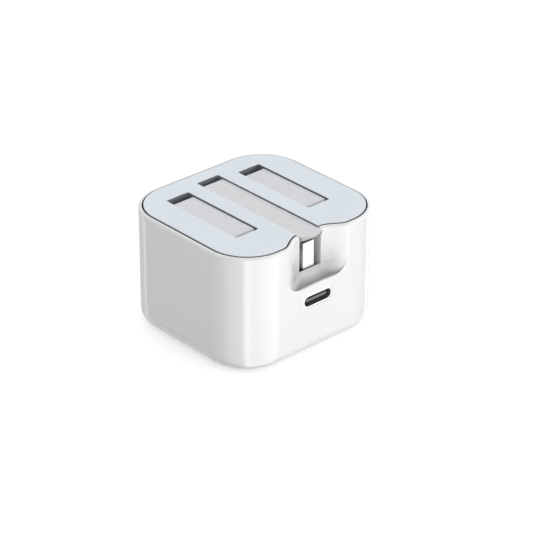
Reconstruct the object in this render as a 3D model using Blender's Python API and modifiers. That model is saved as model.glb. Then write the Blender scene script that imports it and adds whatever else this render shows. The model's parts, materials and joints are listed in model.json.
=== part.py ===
"""A small USB-C mains charger whose three pins fold flat into its pin face.

Frame: the origin is the middle of the base, +Z points out of the pin face, -Y is the front with the
thumb notch and the USB-C port, and X runs across the live and neutral pins. The pins are modelled
folded. Lengths below are in millimetres, and the helpers turn them into metres.
"""

import math

import bmesh
import bpy
from mathutils import Matrix, Vector

MM = 0.001

# Housing
WIDTH = 46.0
DEPTH = 43.5
HEIGHT = 29.9
CORNER = 11.2
FOOT_ROUND = 3.2
RIM_ROUND = 0.6
WALL = 2.0
FLOOR = 2.2
RIM = 0.83
SEAM = 0.12
PLATE_THICK = 2.0
GAP = 0.1
PLATE_LOW = HEIGHT - PLATE_THICK

# Pins, folded into the pin face
PIN_WIDTH = 6.35
PIN_THICK = 3.97
PIN_PITCH = 22.2
PIN_X = PIN_PITCH / 2
PIN_REACH = 17.7
EARTH_REACH = 22.7
PIN_SINK = 0.3
PIN_TIP_CHAMFER = 0.7
PIN_TOP = HEIGHT - PIN_SINK
PIN_LOW = PIN_TOP - PIN_THICK
SLOT_SIDE = 0.15
SLOT_END = 0.66

# Pivot of the live and neutral pins
ROTOR_DROP = 3.1
ROTOR_Y = 11.46
ROTOR_Z = HEIGHT - ROTOR_DROP
ROOT_BEHIND = 1.04
SLOT_BACK = 14.71
PIN_FRONT = ROTOR_Y - PIN_REACH - ROTOR_DROP

# Pivot of the earth lever
LEVER_Y = -9.64
LEVER_Z = PIN_TOP - PIN_THICK / 2
LEVER_NOSE = -20.8
LEVER_TIP = LEVER_Y + EARTH_REACH + HEIGHT - LEVER_Z
LEVER_SLOT_BACK = 16.83
NOSE_BULGE = 1.3
NOSE_STEPS = 8
WEB_FRONT = -18.4
WEB_THICK = 1.8
WEB_HALF = 1.75
WEB_LOW = 20.4
WEB_TOP = 27.2
LIP_THICK = 1.9
LIP_TIP = 0.45
PAD_FRONT = -17.1
PAD_BACK = -13.6
PAD_FIT = 0.03
AXLE_RADIUS = 0.9
BORE_PLAY = 0.07
SWEEP_RADIUS = 11.6
WELL_SKIN = 0.7
WELL_HALF = PIN_WIDTH / 2 + 0.3
WELL_OUTER = WELL_HALF + 0.8

# Thumb notch in the front
NOTCH_HALF = 9.9
NOTCH_FLAT = 3.3
NOTCH_BACK = -18.9
NOTCH_MOUTH = -DEPTH / 2 - 0.15
NOTCH_STEPS = 12
NOTCH_LOW = 17.9
NOTCH_ROUND = 2.6
NOTCH_BLOCK_HALF = 11.5
NOTCH_BLOCK_BACK = -16.7
NOTCH_BLOCK_LOW = 16.2

# USB-C receptacle
PORT_Z = 13.9
PORT_WIDTH = 8.34
PORT_HEIGHT = 2.56
SHELL_SKIN = 0.3
SHELL_FRONT = -DEPTH / 2 + 0.25
SHELL_BACK = -14.5

# Boards, posts and the pin chassis
BOARD_TOP = 12.2
BOARD_THICK = 1.0
BOARD_LOW = BOARD_TOP - BOARD_THICK
POST_X = 16.4
POST_Y = 15.1
POST_TOP = 20.3
POST_RADIUS = 2.5
SHOULDER_RADIUS = 3.4
CHASSIS_LOW = 20.4
CHASSIS_TOP = 22.0
SCREW_RADIUS = 1.0
CHEEK_OUT = 16.9
CHEEK_IN = 15.2
TRUNNION_RADIUS = 0.85
TRUNNION_END = 16.8

# Holder round each pin's root; its upper front corner turns just under the pin face plate
HOLDER_BELOW = 3.0
HOLDER_ABOVE = 0.7
HOLDER_AHEAD = 0.75
HOLDER_BEHIND = 2.9
HOLDER_SKIN = 0.7
HOLDER_PLAY = 0.05

COLLECTION = "folding_pin_charger"


def clear_scene():
    for item in list(bpy.data.objects):
        bpy.data.objects.remove(item, do_unlink=True)


def new_collection(name):
    collection = bpy.data.collections.new(name)
    bpy.context.scene.collection.children.link(collection)
    return collection


def finish(name, colour, roughness, metallic=0.0):
    """A material with one Principled BSDF."""
    made = bpy.data.materials.new(name)
    made.use_nodes = True
    shader = made.node_tree.nodes["Principled BSDF"]
    shader.inputs["Base Color"].default_value = (*colour, 1.0)
    shader.inputs["Roughness"].default_value = roughness
    shader.inputs["Metallic"].default_value = metallic
    return made


def place(name, bm, look=None, centre=(0, 0, 0)):
    """Put a bmesh in the scene; with no look it is a cutter or an adder and isn't a part."""
    mesh = bpy.data.meshes.new(name)
    bmesh.ops.recalc_face_normals(bm, faces=bm.faces)
    bm.to_mesh(mesh)
    bm.free()
    item = bpy.data.objects.new(name, mesh)
    item.location = Vector(centre) * MM
    if look is None:
        item.hide_render = True
        item.display_type = "WIRE"
        tools.objects.link(item)
    else:
        item.data.materials.append(look)
        parts.objects.link(item)
    return item


def along(edge, axis):
    span = edge.verts[1].co - edge.verts[0].co
    return abs(span.normalized()[axis]) > 0.999


def block(name, low, high, look=None, upright=0.0, foot=0.0, rim=0.0, steps=8):
    """A box from its low to its high corner, with rounded upright edges, foot and rim."""
    centre = [(a + b) / 2 for a, b in zip(low, high)]
    size = [b - a for a, b in zip(low, high)]
    bm = bmesh.new()
    bmesh.ops.create_cube(bm, size=1.0)
    bmesh.ops.scale(bm, vec=Vector(size) * MM, verts=bm.verts)
    if upright:
        edges = [e for e in bm.edges if along(e, 2)]
        bmesh.ops.bevel(bm, geom=edges, offset=upright * MM, segments=steps, profile=0.5, affect="EDGES")
    for radius, side in ((foot, -1), (rim, 1)):
        if radius:
            level = side * size[2] / 2 * MM
            edges = [e for e in bm.edges if all(abs(v.co.z - level) < 1e-7 for v in e.verts)]
            arc_steps = 4 if radius > 1 else 2
            bmesh.ops.bevel(
                bm, geom=edges, offset=radius * MM, segments=arc_steps, profile=0.5, affect="EDGES"
            )
    return place(name, bm, look, centre)


def rod(name, start, end, radius, look=None, sides=20):
    """A round rod between two points, both on one axis direction."""
    first, last = Vector(start), Vector(end)
    bm = bmesh.new()
    bmesh.ops.create_cone(
        bm,
        cap_ends=True,
        segments=sides,
        radius1=radius * MM,
        radius2=radius * MM,
        depth=(last - first).length * MM,
    )
    turn = Vector((0, 0, 1)).rotation_difference(last - first).to_matrix().to_4x4()
    bmesh.ops.transform(bm, matrix=turn, verts=bm.verts)
    return place(name, bm, look, (first + last) / 2)


def slab(name, outline, low, high, look=None):
    """A flat outline in the XY plane, extruded from low to high."""
    bm = bmesh.new()
    face = bm.faces.new([bm.verts.new((x * MM, y * MM, low * MM)) for x, y in outline])
    raised = bmesh.ops.extrude_face_region(bm, geom=[face])
    lifted = [v for v in raised["geom"] if isinstance(v, bmesh.types.BMVert)]
    bmesh.ops.translate(bm, vec=(0, 0, (high - low) * MM), verts=lifted)
    return place(name, bm, look)


def prism(name, outline, half):
    """A cutter along X, from its outline of (y, z) points and its half length."""
    bm = bmesh.new()
    face = bm.faces.new([bm.verts.new((-half * MM, y * MM, z * MM)) for y, z in outline])
    raised = bmesh.ops.extrude_face_region(bm, geom=[face])
    moved = [v for v in raised["geom"] if isinstance(v, bmesh.types.BMVert)]
    bmesh.ops.translate(bm, vec=(2 * half * MM, 0, 0), verts=moved)
    return place(name, bm)


def capsule(name, width, height, front, back, look=None, steps=6):
    """A flat-sided oval prism along Y, centred on the port."""
    bm = bmesh.new()
    bmesh.ops.create_cube(bm, size=1.0)
    bmesh.ops.scale(bm, vec=Vector((width, back - front, height)) * MM, verts=bm.verts)
    edges = [e for e in bm.edges if along(e, 1)]
    radius = height / 2 * 0.999
    bmesh.ops.bevel(bm, geom=edges, offset=radius * MM, segments=steps, profile=0.5, affect="EDGES")
    return place(name, bm, look, (0, (front + back) / 2, PORT_Z))


def boolean(target, operation, others):
    for other in others:
        step = target.modifiers.new(other.name, "BOOLEAN")
        step.operation = operation
        step.object = other
    return target


def cut(target, *cutters):
    return boolean(target, "DIFFERENCE", cutters)


def add(target, *adders):
    return boolean(target, "UNION", adders)


def corners():
    return [(x * POST_X, y * POST_Y) for x in (-1, 1) for y in (-1, 1)]


def pivot(name, y, z, children):
    """An empty on a pivot axis that carries the pieces of one moving body."""
    empty = bpy.data.objects.new(name, None)
    empty.location = Vector((0, y, z)) * MM
    parts.objects.link(empty)
    for child in children:
        child.parent = empty
        child.matrix_parent_inverse = Matrix.Translation(-empty.location)
    return empty


def notch_outline(grow=0.0):
    """The bell-shaped plan of the thumb notch, from its mouth to its flat back, moved out by grow."""
    depth = NOTCH_BACK - NOTCH_MOUTH
    run = NOTCH_HALF - NOTCH_FLAT
    side = []
    for i in range(NOTCH_STEPS + 1):
        share = i / NOTCH_STEPS
        swing = (1 - math.cos(math.pi * share)) / 2
        slope = depth * math.pi / 2 * math.sin(math.pi * share) / run
        tilt = math.hypot(1, slope)
        across = NOTCH_FLAT + run * share + grow * slope / tilt
        side.append((across, NOTCH_BACK - depth * swing + grow / tilt))
    side.append((side[-1][0], NOTCH_MOUTH - 1))
    return [(-x, y) for x, y in reversed(side)] + side


def notch_cutter(name):
    """The notch as a cutter, with its floor rounded into its back and sides."""
    item = slab(name, notch_outline(), NOTCH_LOW, HEIGHT + 3)
    bevel = item.modifiers.new("floor_round", "BEVEL")
    bevel.limit_method = "WEIGHT"
    bevel.width = NOTCH_ROUND * MM
    bevel.segments = 4
    weights = item.data.attributes.new("bevel_weight_edge", "FLOAT", "EDGE")
    for edge in item.data.edges:
        ends = [item.data.vertices[i].co for i in edge.vertices]
        on_floor = all(abs(end.z - NOTCH_LOW * MM) < 1e-7 for end in ends)
        at_front = all(end.y < (NOTCH_MOUTH + 0.01) * MM for end in ends)
        weights.data[edge.index].value = 0.0 if at_front or not on_floor else 1.0
    return item


def housing():
    white = finish("white_gloss_polycarbonate", (0.86, 0.86, 0.86), 0.2)
    x, y = WIDTH / 2, DEPTH / 2
    shell = block(
        "housing_shell", (-x, -y, 0), (x, y, HEIGHT), white, CORNER, FOOT_ROUND, RIM_ROUND, steps=10
    )
    inner_x, inner_y = x - WALL, y - WALL
    cavity = block(
        "cavity_cutter", (-inner_x, -inner_y, FLOOR), (inner_x, inner_y, PLATE_LOW - GAP),
        None, CORNER - WALL, FOOT_ROUND - WALL,
    )
    seat_x, seat_y = x - RIM, y - RIM
    seat = block(
        "plate_seat_cutter", (-seat_x, -seat_y, PLATE_LOW - GAP), (seat_x, seat_y, HEIGHT + 1),
        None, CORNER - RIM, steps=10,
    )
    cut(seat, slab("notch_rim_cutter", notch_outline(RIM), NOTCH_BLOCK_LOW, HEIGHT + 2))
    cut(shell, cavity, seat)
    notch_block = block(
        "notch_block",
        (-NOTCH_BLOCK_HALF, -y + WALL / 2, NOTCH_BLOCK_LOW),
        (NOTCH_BLOCK_HALF, NOTCH_BLOCK_BACK, PLATE_LOW - GAP),
    )
    add(shell, notch_block)
    for number, (px, py) in enumerate(corners(), 1):
        foot = rod(f"post_foot_{number}", (px, py, FLOOR - 1), (px, py, BOARD_LOW - GAP), SHOULDER_RADIUS)
        post = rod(f"post_{number}", (px, py, FLOOR - 1), (px, py, POST_TOP), POST_RADIUS)
        add(shell, foot, post)
        pilot = rod(f"pilot_cutter_{number}", (px, py, 9), (px, py, POST_TOP + 1), SCREW_RADIUS + 0.06)
        cut(shell, pilot)
    sweep = rod(
        "sweep_cutter", (-WELL_HALF, LEVER_Y, LEVER_Z), (WELL_HALF, LEVER_Y, LEVER_Z), SWEEP_RADIUS, sides=48
    )
    port = capsule("port_cutter", PORT_WIDTH + 0.8, PORT_HEIGHT + 0.8, -y - 1, -y + WALL + 1)
    cut(shell, notch_cutter("housing_notch_cutter"), sweep, port)
    return shell


def pin_face_plate():
    grey = finish("pale_blue_grey_polycarbonate", (0.7, 0.74, 0.78), 0.45)
    x, y = WIDTH / 2 - RIM - SEAM, DEPTH / 2 - RIM - SEAM
    plate = block(
        "pin_face_plate", (-x, -y, PLATE_LOW), (x, y, HEIGHT), grey, CORNER - RIM - SEAM, steps=10
    )
    half = PIN_WIDTH / 2 + SLOT_SIDE
    slots = [
        block(f"pin_slot_cutter_{n}", (px - half, PIN_FRONT - SLOT_END, PLATE_LOW - 1),
              (px + half, SLOT_BACK, HEIGHT + 1))
        for n, px in ((1, -PIN_X), (2, PIN_X))
    ]
    earth_slot = block(
        "earth_slot_cutter", (-half, -DEPTH / 2, PLATE_LOW - 1), (half, LEVER_SLOT_BACK, HEIGHT + 1)
    )
    axle_groove = block(
        "axle_groove_cutter",
        (-7.4, LEVER_Y - AXLE_RADIUS - 0.2, PLATE_LOW - 1),
        (7.4, LEVER_Y + AXLE_RADIUS + 0.2, LEVER_Z + AXLE_RADIUS + 0.15),
    )
    cut(plate, *slots, earth_slot, axle_groove)
    cut(plate, slab("plate_notch_cutter", notch_outline(RIM + SEAM), PLATE_LOW - 1, HEIGHT + 3))
    return plate


def pin_chassis():
    dark = finish("dark_glass_filled_nylon", (0.06, 0.065, 0.07), 0.55)
    x, y = WIDTH / 2 - WALL - 0.3, DEPTH / 2 - WALL - 0.3
    chassis = block(
        "pin_chassis", (-x, -y, CHASSIS_LOW), (x, y, CHASSIS_TOP), dark, CORNER - WALL - 0.3
    )
    well = rod(
        "well_adder", (-WELL_OUTER, LEVER_Y, LEVER_Z), (WELL_OUTER, LEVER_Y, LEVER_Z),
        SWEEP_RADIUS + WELL_SKIN, sides=48,
    )
    above = block("well_top_cutter", (-WELL_OUTER - 1, -25, CHASSIS_TOP), (WELL_OUTER + 1, 8, 45))
    add(chassis, well)
    cut(chassis, above)
    cheeks = block(
        "axle_cheek_adder", (-5.4, LEVER_Y - 2.4, CHASSIS_LOW), (5.4, LEVER_Y + 2.4, PLATE_LOW - GAP)
    )
    bearings = [
        block(f"bearing_adder_{n}", (min(a, b), ROTOR_Y - 1.7, CHASSIS_LOW),
              (max(a, b), ROTOR_Y + 1.7, PLATE_LOW - GAP))
        for n, (a, b) in ((1, (-CHEEK_IN, -CHEEK_OUT)), (2, (CHEEK_IN, CHEEK_OUT)))
    ]
    add(chassis, cheeks, *bearings)
    inside = rod(
        "well_cutter", (-WELL_HALF, LEVER_Y, LEVER_Z), (WELL_HALF, LEVER_Y, LEVER_Z), SWEEP_RADIUS, sides=48
    )
    front_gap = block(
        "block_gap_cutter", (-NOTCH_BLOCK_HALF - 0.3, -25, 5), (NOTCH_BLOCK_HALF + 0.3, -16.4, 35)
    )
    axle = block(
        "axle_saddle_cutter", (-7, LEVER_Y - AXLE_RADIUS - 0.03, LEVER_Z - AXLE_RADIUS - 0.03),
        (7, LEVER_Y + AXLE_RADIUS + 0.03, 35),
    )
    cut(chassis, inside, front_gap, axle)
    play = TRUNNION_RADIUS + BORE_PLAY
    saddle = rod("saddle_cutter", (-20, ROTOR_Y, ROTOR_Z), (20, ROTOR_Y, ROTOR_Z), play)
    mouth = block("saddle_mouth_cutter", (-20, ROTOR_Y - play, ROTOR_Z), (20, ROTOR_Y + play, 35))
    cut(chassis, saddle, mouth)
    for number, (px, py) in enumerate(corners(), 1):
        hole = rod(f"screw_hole_cutter_{number}", (px, py, CHASSIS_LOW - 1), (px, py, CHASSIS_TOP + 1),
                   SCREW_RADIUS + 0.2)
        cut(chassis, hole)
    for number, px in ((1, -PIN_X), (2, PIN_X)):
        exit_gap = block(f"lead_gap_cutter_{number}", (px - 1.2, 16.6, CHASSIS_LOW - 1),
                         (px + 1.2, 22, CHASSIS_TOP + 1))
        cut(chassis, exit_gap)
    return chassis


def chassis_screws():
    steel = finish("zinc_plated_steel", (0.62, 0.63, 0.65), 0.35, 1.0)
    for number, (px, py) in enumerate(corners(), 1):
        screw = rod(f"chassis_screw_{number}", (px, py, 12.5), (px, py, CHASSIS_TOP + 0.5), SCREW_RADIUS, steel)
        head = rod(f"screw_head_{number}", (px, py, CHASSIS_TOP + 0.05), (px, py, CHASSIS_TOP + 1.3), 1.8)
        drive = block(f"screw_drive_{number}", (px - 1.2, py - 0.2, CHASSIS_TOP + 0.8),
                      (px + 1.2, py + 0.2, CHASSIS_TOP + 2))
        cut(add(screw, head), drive)


def nose_outline():
    """All that lies ahead of the lever's slightly rounded nose, as seen from above."""
    half = PIN_WIDTH / 2 + 1
    bulge = NOSE_BULGE * (half / (PIN_WIDTH / 2)) ** 2
    arc = []
    for i in range(NOSE_STEPS + 1):
        share = 2 * i / NOSE_STEPS - 1
        arc.append((half * share, LEVER_NOSE + bulge * share * share))
    return [(-half, LEVER_NOSE - 2)] + arc + [(half, LEVER_NOSE - 2)]


def earth_lever():
    """The earth pin bar on its axle, and the white thumb pad moulded under its nose."""
    metal = finish("satin_nickel", (0.72, 0.73, 0.75), 0.35, 0.6)
    white = finish("white_thumb_pad", (0.86, 0.86, 0.86), 0.25)
    bm = bmesh.new()
    bmesh.ops.create_cube(bm, size=1.0)
    size = Vector((PIN_WIDTH, LEVER_TIP - LEVER_NOSE, PIN_THICK)) * MM
    bmesh.ops.scale(bm, vec=size, verts=bm.verts)
    tip = [e for e in bm.edges if all(v.co.y > size.y / 2 - 1e-7 for v in e.verts)]
    bmesh.ops.bevel(bm, geom=tip, offset=PIN_TIP_CHAMFER * MM, segments=1, profile=0.5, affect="EDGES")
    bar = place("earth_pin_bar", bm, metal, (0, (LEVER_TIP + LEVER_NOSE) / 2, LEVER_Z))
    under_lip = prism(
        "lip_cutter",
        (
            (LEVER_NOSE - 1, PIN_LOW - 1),
            (PAD_BACK + PAD_FIT, PIN_LOW - 1),
            (PAD_BACK + PAD_FIT, PIN_TOP - LIP_THICK),
            (PAD_FRONT, PIN_TOP - LIP_THICK),
            (LEVER_NOSE, PIN_TOP - LIP_TIP),
            (LEVER_NOSE - 1, PIN_TOP - LIP_TIP),
        ),
        PIN_WIDTH,
    )
    bore = rod("bore_cutter", (-9, LEVER_Y, LEVER_Z), (9, LEVER_Y, LEVER_Z), AXLE_RADIUS + BORE_PLAY, sides=24)
    cut(bar, under_lip, slab("nose_cutter", nose_outline(), PIN_LOW - 1, PIN_TOP + 1), bore)
    half = PIN_WIDTH / 2 - PAD_FIT
    pad = block(
        "thumb_pad", (-half, PAD_FRONT, PIN_LOW), (half, PAD_BACK, PIN_TOP - LIP_THICK - PAD_FIT), white
    )
    web = block("web_adder", (-WEB_HALF, WEB_FRONT, WEB_LOW), (WEB_HALF, WEB_FRONT + WEB_THICK, WEB_TOP))
    add(pad, web)
    steel = finish("polished_axle_steel", (0.6, 0.61, 0.63), 0.25, 1.0)
    rod("earth_axle", (-7, LEVER_Y, LEVER_Z), (7, LEVER_Y, LEVER_Z), AXLE_RADIUS, steel, sides=24)
    pivot("earth_pivot", LEVER_Y, LEVER_Z, [bar, pad])


def pin(name, px, look):
    bm = bmesh.new()
    bmesh.ops.create_cube(bm, size=1.0)
    back = ROTOR_Y + ROOT_BEHIND
    size = Vector((PIN_WIDTH, back - PIN_FRONT, PIN_THICK)) * MM
    bmesh.ops.scale(bm, vec=size, verts=bm.verts)
    tip = [e for e in bm.edges if all(v.co.y < -size.y / 2 + 1e-7 for v in e.verts)]
    bmesh.ops.bevel(bm, geom=tip, offset=PIN_TIP_CHAMFER * MM, segments=1, profile=0.5, affect="EDGES")
    return place(name, bm, look, (px, (back + PIN_FRONT) / 2, PIN_TOP - PIN_THICK / 2))


def pin_rotor():
    brass = finish("nickel_plated_brass", (0.75, 0.75, 0.74), 0.3, 1.0)
    nylon = finish("grey_nylon", (0.3, 0.31, 0.32), 0.5)
    pins = [pin("live_pin", -PIN_X, brass), pin("neutral_pin", PIN_X, brass)]
    low, high = ROTOR_Z - HOLDER_BELOW, ROTOR_Z + HOLDER_ABOVE
    front, back = ROTOR_Y - HOLDER_AHEAD, ROTOR_Y + HOLDER_BEHIND
    side = PIN_WIDTH / 2 + HOLDER_SKIN
    carrier = block(
        "pin_carrier", (-PIN_X, ROTOR_Y - 0.9, ROTOR_Z - 4.0), (PIN_X, ROTOR_Y + 0.9, ROTOR_Z - 2.0), nylon
    )
    for number, px in ((1, -PIN_X), (2, PIN_X)):
        body = block(f"pin_holder_adder_{number}", (px - side, front, low), (px + side, back, high))
        out = math.copysign(TRUNNION_END, px)
        trunnion = rod(f"trunnion_adder_{number}", (px, ROTOR_Y, ROTOR_Z), (out, ROTOR_Y, ROTOR_Z), TRUNNION_RADIUS)
        add(carrier, body, trunnion)
        half = PIN_WIDTH / 2 + HOLDER_PLAY
        pocket = block(
            f"pin_pocket_cutter_{number}",
            (px - half, PIN_FRONT, PIN_LOW - HOLDER_PLAY),
            (px + half, ROTOR_Y + ROOT_BEHIND + HOLDER_PLAY, PIN_TOP + 1),
        )
        cut(carrier, pocket)
    pivot("rotor_pivot", ROTOR_Y, ROTOR_Z, [carrier, *pins])


def contact_springs():
    bronze = finish("phosphor_bronze", (0.72, 0.42, 0.2), 0.35, 1.0)
    red = finish("live_wire_sleeve", (0.35, 0.12, 0.04), 0.5)
    blue = finish("neutral_wire_sleeve", (0.03, 0.12, 0.4), 0.5)
    for side, px, sleeve in (("live", -PIN_X, red), ("neutral", PIN_X, blue)):
        low = CHASSIS_TOP + GAP
        leaf = block(f"{side}_contact_spring", (px - 2, 15.9, low), (px + 2, 16.25, 26.6), bronze)
        foot = block(f"{side}_foot_adder", (px - 2, 13.4, low), (px + 2, 16.0, low + 0.35))
        add(leaf, foot)
        lead(f"{side}_lead", [(px, 17.2, 25.4), (px, 17.2, BOARD_TOP + 0.3)], 0.55, sleeve)


def lead(name, points, radius, look):
    """A wire: a poly spline with a round bevel and filled caps."""
    curve = bpy.data.curves.new(name, "CURVE")
    curve.dimensions = "3D"
    curve.bevel_depth = radius * MM
    curve.bevel_resolution = 2
    curve.use_fill_caps = True
    spline = curve.splines.new("POLY")
    spline.points.add(len(points) - 1)
    for point, place_mm in zip(spline.points, points):
        point.co = (*[c * MM for c in place_mm], 1.0)
    item = bpy.data.objects.new(name, curve)
    curve.materials.append(look)
    parts.objects.link(item)
    return item


def detent_spring():
    steel = finish("spring_steel", (0.45, 0.46, 0.48), 0.3, 1.0)
    low = CHASSIS_TOP + GAP
    leaf = block("detent_spring", (-2.4, 3.4, low), (2.4, 6.4, low + 0.3), steel)
    rise = block("detent_rise_adder", (-2.4, 3.4, low), (2.4, 3.7, 25.2))
    add(leaf, rise)


def main_board():
    green = finish("green_solder_mask", (0.02, 0.16, 0.07), 0.4)
    board = block(
        "main_board", (-19.8, -18.6, BOARD_LOW), (19.8, 18.6, BOARD_TOP), green, 8.4
    )
    for number, (px, py) in enumerate(corners(), 1):
        hole = rod(f"board_hole_cutter_{number}", (px, py, BOARD_LOW - 1), (px, py, BOARD_TOP + 1),
                   POST_RADIUS + 0.3)
        cut(board, hole)
    return board


def usb_receptacle():
    steel = finish("receptacle_steel", (0.6, 0.61, 0.62), 0.3, 1.0)
    black = finish("black_receptacle_nylon", (0.015, 0.015, 0.016), 0.5)
    gold = finish("contact_gold", (0.9, 0.65, 0.25), 0.3, 1.0)
    skin = 2 * SHELL_SKIN
    shell = capsule("usb_c_shell", PORT_WIDTH + skin, PORT_HEIGHT + skin, SHELL_FRONT, SHELL_BACK, steel)
    cut(shell, capsule("shell_bore_cutter", PORT_WIDTH, PORT_HEIGHT, SHELL_FRONT - 1, SHELL_BACK + 1))
    base_front = SHELL_FRONT + 6.0
    base = capsule("usb_c_base", PORT_WIDTH - 0.06, PORT_HEIGHT - 0.06, base_front, SHELL_BACK, black)
    tongue = block(
        "tongue_adder", (-3.34, SHELL_FRONT + 0.9, PORT_Z - 0.35), (3.34, base_front + 0.5, PORT_Z + 0.35)
    )
    add(base, tongue)
    for side, level in (("upper", PORT_Z + 0.37), ("lower", PORT_Z - 0.37)):
        low, high = sorted((level, level + math.copysign(0.12, level - PORT_Z)))
        strip = block(f"usb_c_contacts_{side}", (-2.9, SHELL_FRONT + 1.6, low), (2.9, base_front - 0.1, high), gold)
        for number in range(11):
            middle = -2.5 + number * 0.5
            groove = block(f"contact_gap_{side}_{number}", (middle - 0.1, SHELL_FRONT + 1, low - 0.1),
                           (middle + 0.1, base_front - 0.5, high + 0.1))
            cut(strip, groove)


def transformer():
    ferrite = finish("grey_ferrite", (0.07, 0.07, 0.075), 0.6)
    tape = finish("yellow_winding_tape", (0.75, 0.5, 0.05), 0.5)
    low, high, middle = 2.9, 10.9, 6.9
    left, right, front, back = 1.0, 15.0, -5.0, 5.0
    windows = ((left + 2.4, left + 4.8), (right - 4.8, right - 2.4))
    lower = block("transformer_core_lower", (left, front, low), (right, back, middle - 0.02), ferrite)
    upper = block("transformer_core_upper", (left, front, middle + 0.02), (right, back, high), ferrite)
    for number, (a, b) in enumerate(windows, 1):
        cut(lower, block(f"lower_window_{number}", (a, front - 1, low + 2), (b, back + 1, middle + 1)))
        cut(upper, block(f"upper_window_{number}", (a, front - 1, middle - 1), (b, back + 1, high - 2)))
    winding = block(
        "transformer_winding", (left + 2.5, front - 2.4, low + 2.1), (right - 2.5, back + 2.4, high - 2.1),
        tape, 1.5, steps=4,
    )
    cut(winding, block("winding_window", (left + 4.7, front - 0.1, 0), (right - 4.7, back + 0.1, 20)))


def lower_parts():
    """The tall parts that hang under the board."""
    blue = finish("capacitor_blue_sleeve", (0.02, 0.05, 0.25), 0.35)
    yellow = finish("film_capacitor_yellow", (0.8, 0.6, 0.05), 0.45)
    copper = finish("copper_winding", (0.6, 0.25, 0.1), 0.35, 1.0)
    chip = finish("black_epoxy", (0.02, 0.02, 0.022), 0.45)
    rod("bulk_capacitor_1", (-15.6, -7, 6.9), (-15.6, 7, 6.9), 3.9, blue)
    rod("bulk_capacitor_2", (-7.4, -7, 6.9), (-7.4, 7, 6.9), 3.9, blue)
    block("x_capacitor", (-11, 9.2, 3), (0.5, 15.2, 11), yellow, 0.8, steps=2)
    rod("output_choke", (7.5, 13.2, 3), (7.5, 13.2, 11), 3.9, copper)
    block("output_rectifier", (16, -4, 9.9), (19.2, 3, 11.1), chip)
    block("bridge_rectifier", (-8, -15.5, 8.4), (2, -9.5, 11.1), chip, 0.5, steps=2)


def upper_parts():
    """The parts that stand on the board, beside the lever well."""
    silver = finish("aluminium_can", (0.7, 0.71, 0.72), 0.3, 1.0)
    chip = finish("black_ic_epoxy", (0.02, 0.02, 0.022), 0.45)
    glass = finish("ceramic_fuse_body", (0.75, 0.72, 0.65), 0.4)
    disc_blue = finish("ceramic_disc_blue", (0.05, 0.2, 0.5), 0.45)
    disc_red = finish("varistor_red", (0.5, 0.04, 0.03), 0.45)
    green = finish("choke_green", (0.05, 0.3, 0.12), 0.45)
    top = BOARD_TOP + GAP
    rod("output_capacitor_1", (12.6, -9, top), (12.6, -9, 19.3), 3.1, silver)
    rod("output_capacitor_2", (12.6, -1.5, top), (12.6, -1.5, 19.3), 3.1, silver)
    block("power_delivery_controller", (6.4, -17, top), (11.4, -13, top + 0.9), chip)
    block("switching_controller", (6.5, 5, top), (11.5, 9, top + 1.4), chip)
    rod("fuse", (-17.6, -5, 14.2), (-17.6, 5, 14.2), 1.6, glass, sides=16)
    rod("varistor", (-9.6, -12.6, 15.9), (-9.6, -10.6, 15.9), 3.4, disc_red)
    rod("y_capacitor", (-2, 14.5, 15.5), (-2, 16.5, 15.5), 3.0, disc_blue)
    ring = rod("common_mode_choke", (-10, 2, top), (-10, 2, 18), 5.0, green, sides=28)
    cut(ring, rod("choke_window", (-10, 2, top - 1), (-10, 2, 19), 2.2, sides=28))


def heat_spreader():
    aluminium = finish("bare_aluminium", (0.75, 0.76, 0.77), 0.4, 1.0)
    block("heat_spreader", (20.1, -9, 3.8), (20.7, 9, 20.0), aluminium)


def barrier_sheet():
    sheet_look = finish("barrier_film", (0.85, 0.82, 0.7), 0.5)
    sheet = block("barrier_sheet", (-19.8, -16.2, 19.6), (19.8, 16.2, 19.9), sheet_look, 8.0)
    slot = block("sheet_well_cutter", (-WELL_OUTER - 0.2, -17, 18), (WELL_OUTER + 0.2, 2.8, 21))
    cut(sheet, slot)
    for number, (px, py) in enumerate(corners(), 1):
        cut(sheet, rod(f"sheet_hole_cutter_{number}", (px, py, 18), (px, py, 21), POST_RADIUS + 0.3))


clear_scene()
parts = new_collection(COLLECTION)
tools = new_collection("cutters")
tools.hide_render = True

housing()
pin_face_plate()
pin_chassis()
chassis_screws()
earth_lever()
pin_rotor()
contact_springs()
detent_spring()
main_board()
usb_receptacle()
transformer()
lower_parts()
upper_parts()
heat_spreader()
barrier_sheet()
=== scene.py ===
"""The looks of the folding-pin charger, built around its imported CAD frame.

Lengths are in millimetres and are turned into metres where a mesh is made. +Z points out of the pin
face, -Y is the front with the thumb notch and the port.
"""

import json
import math

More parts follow.
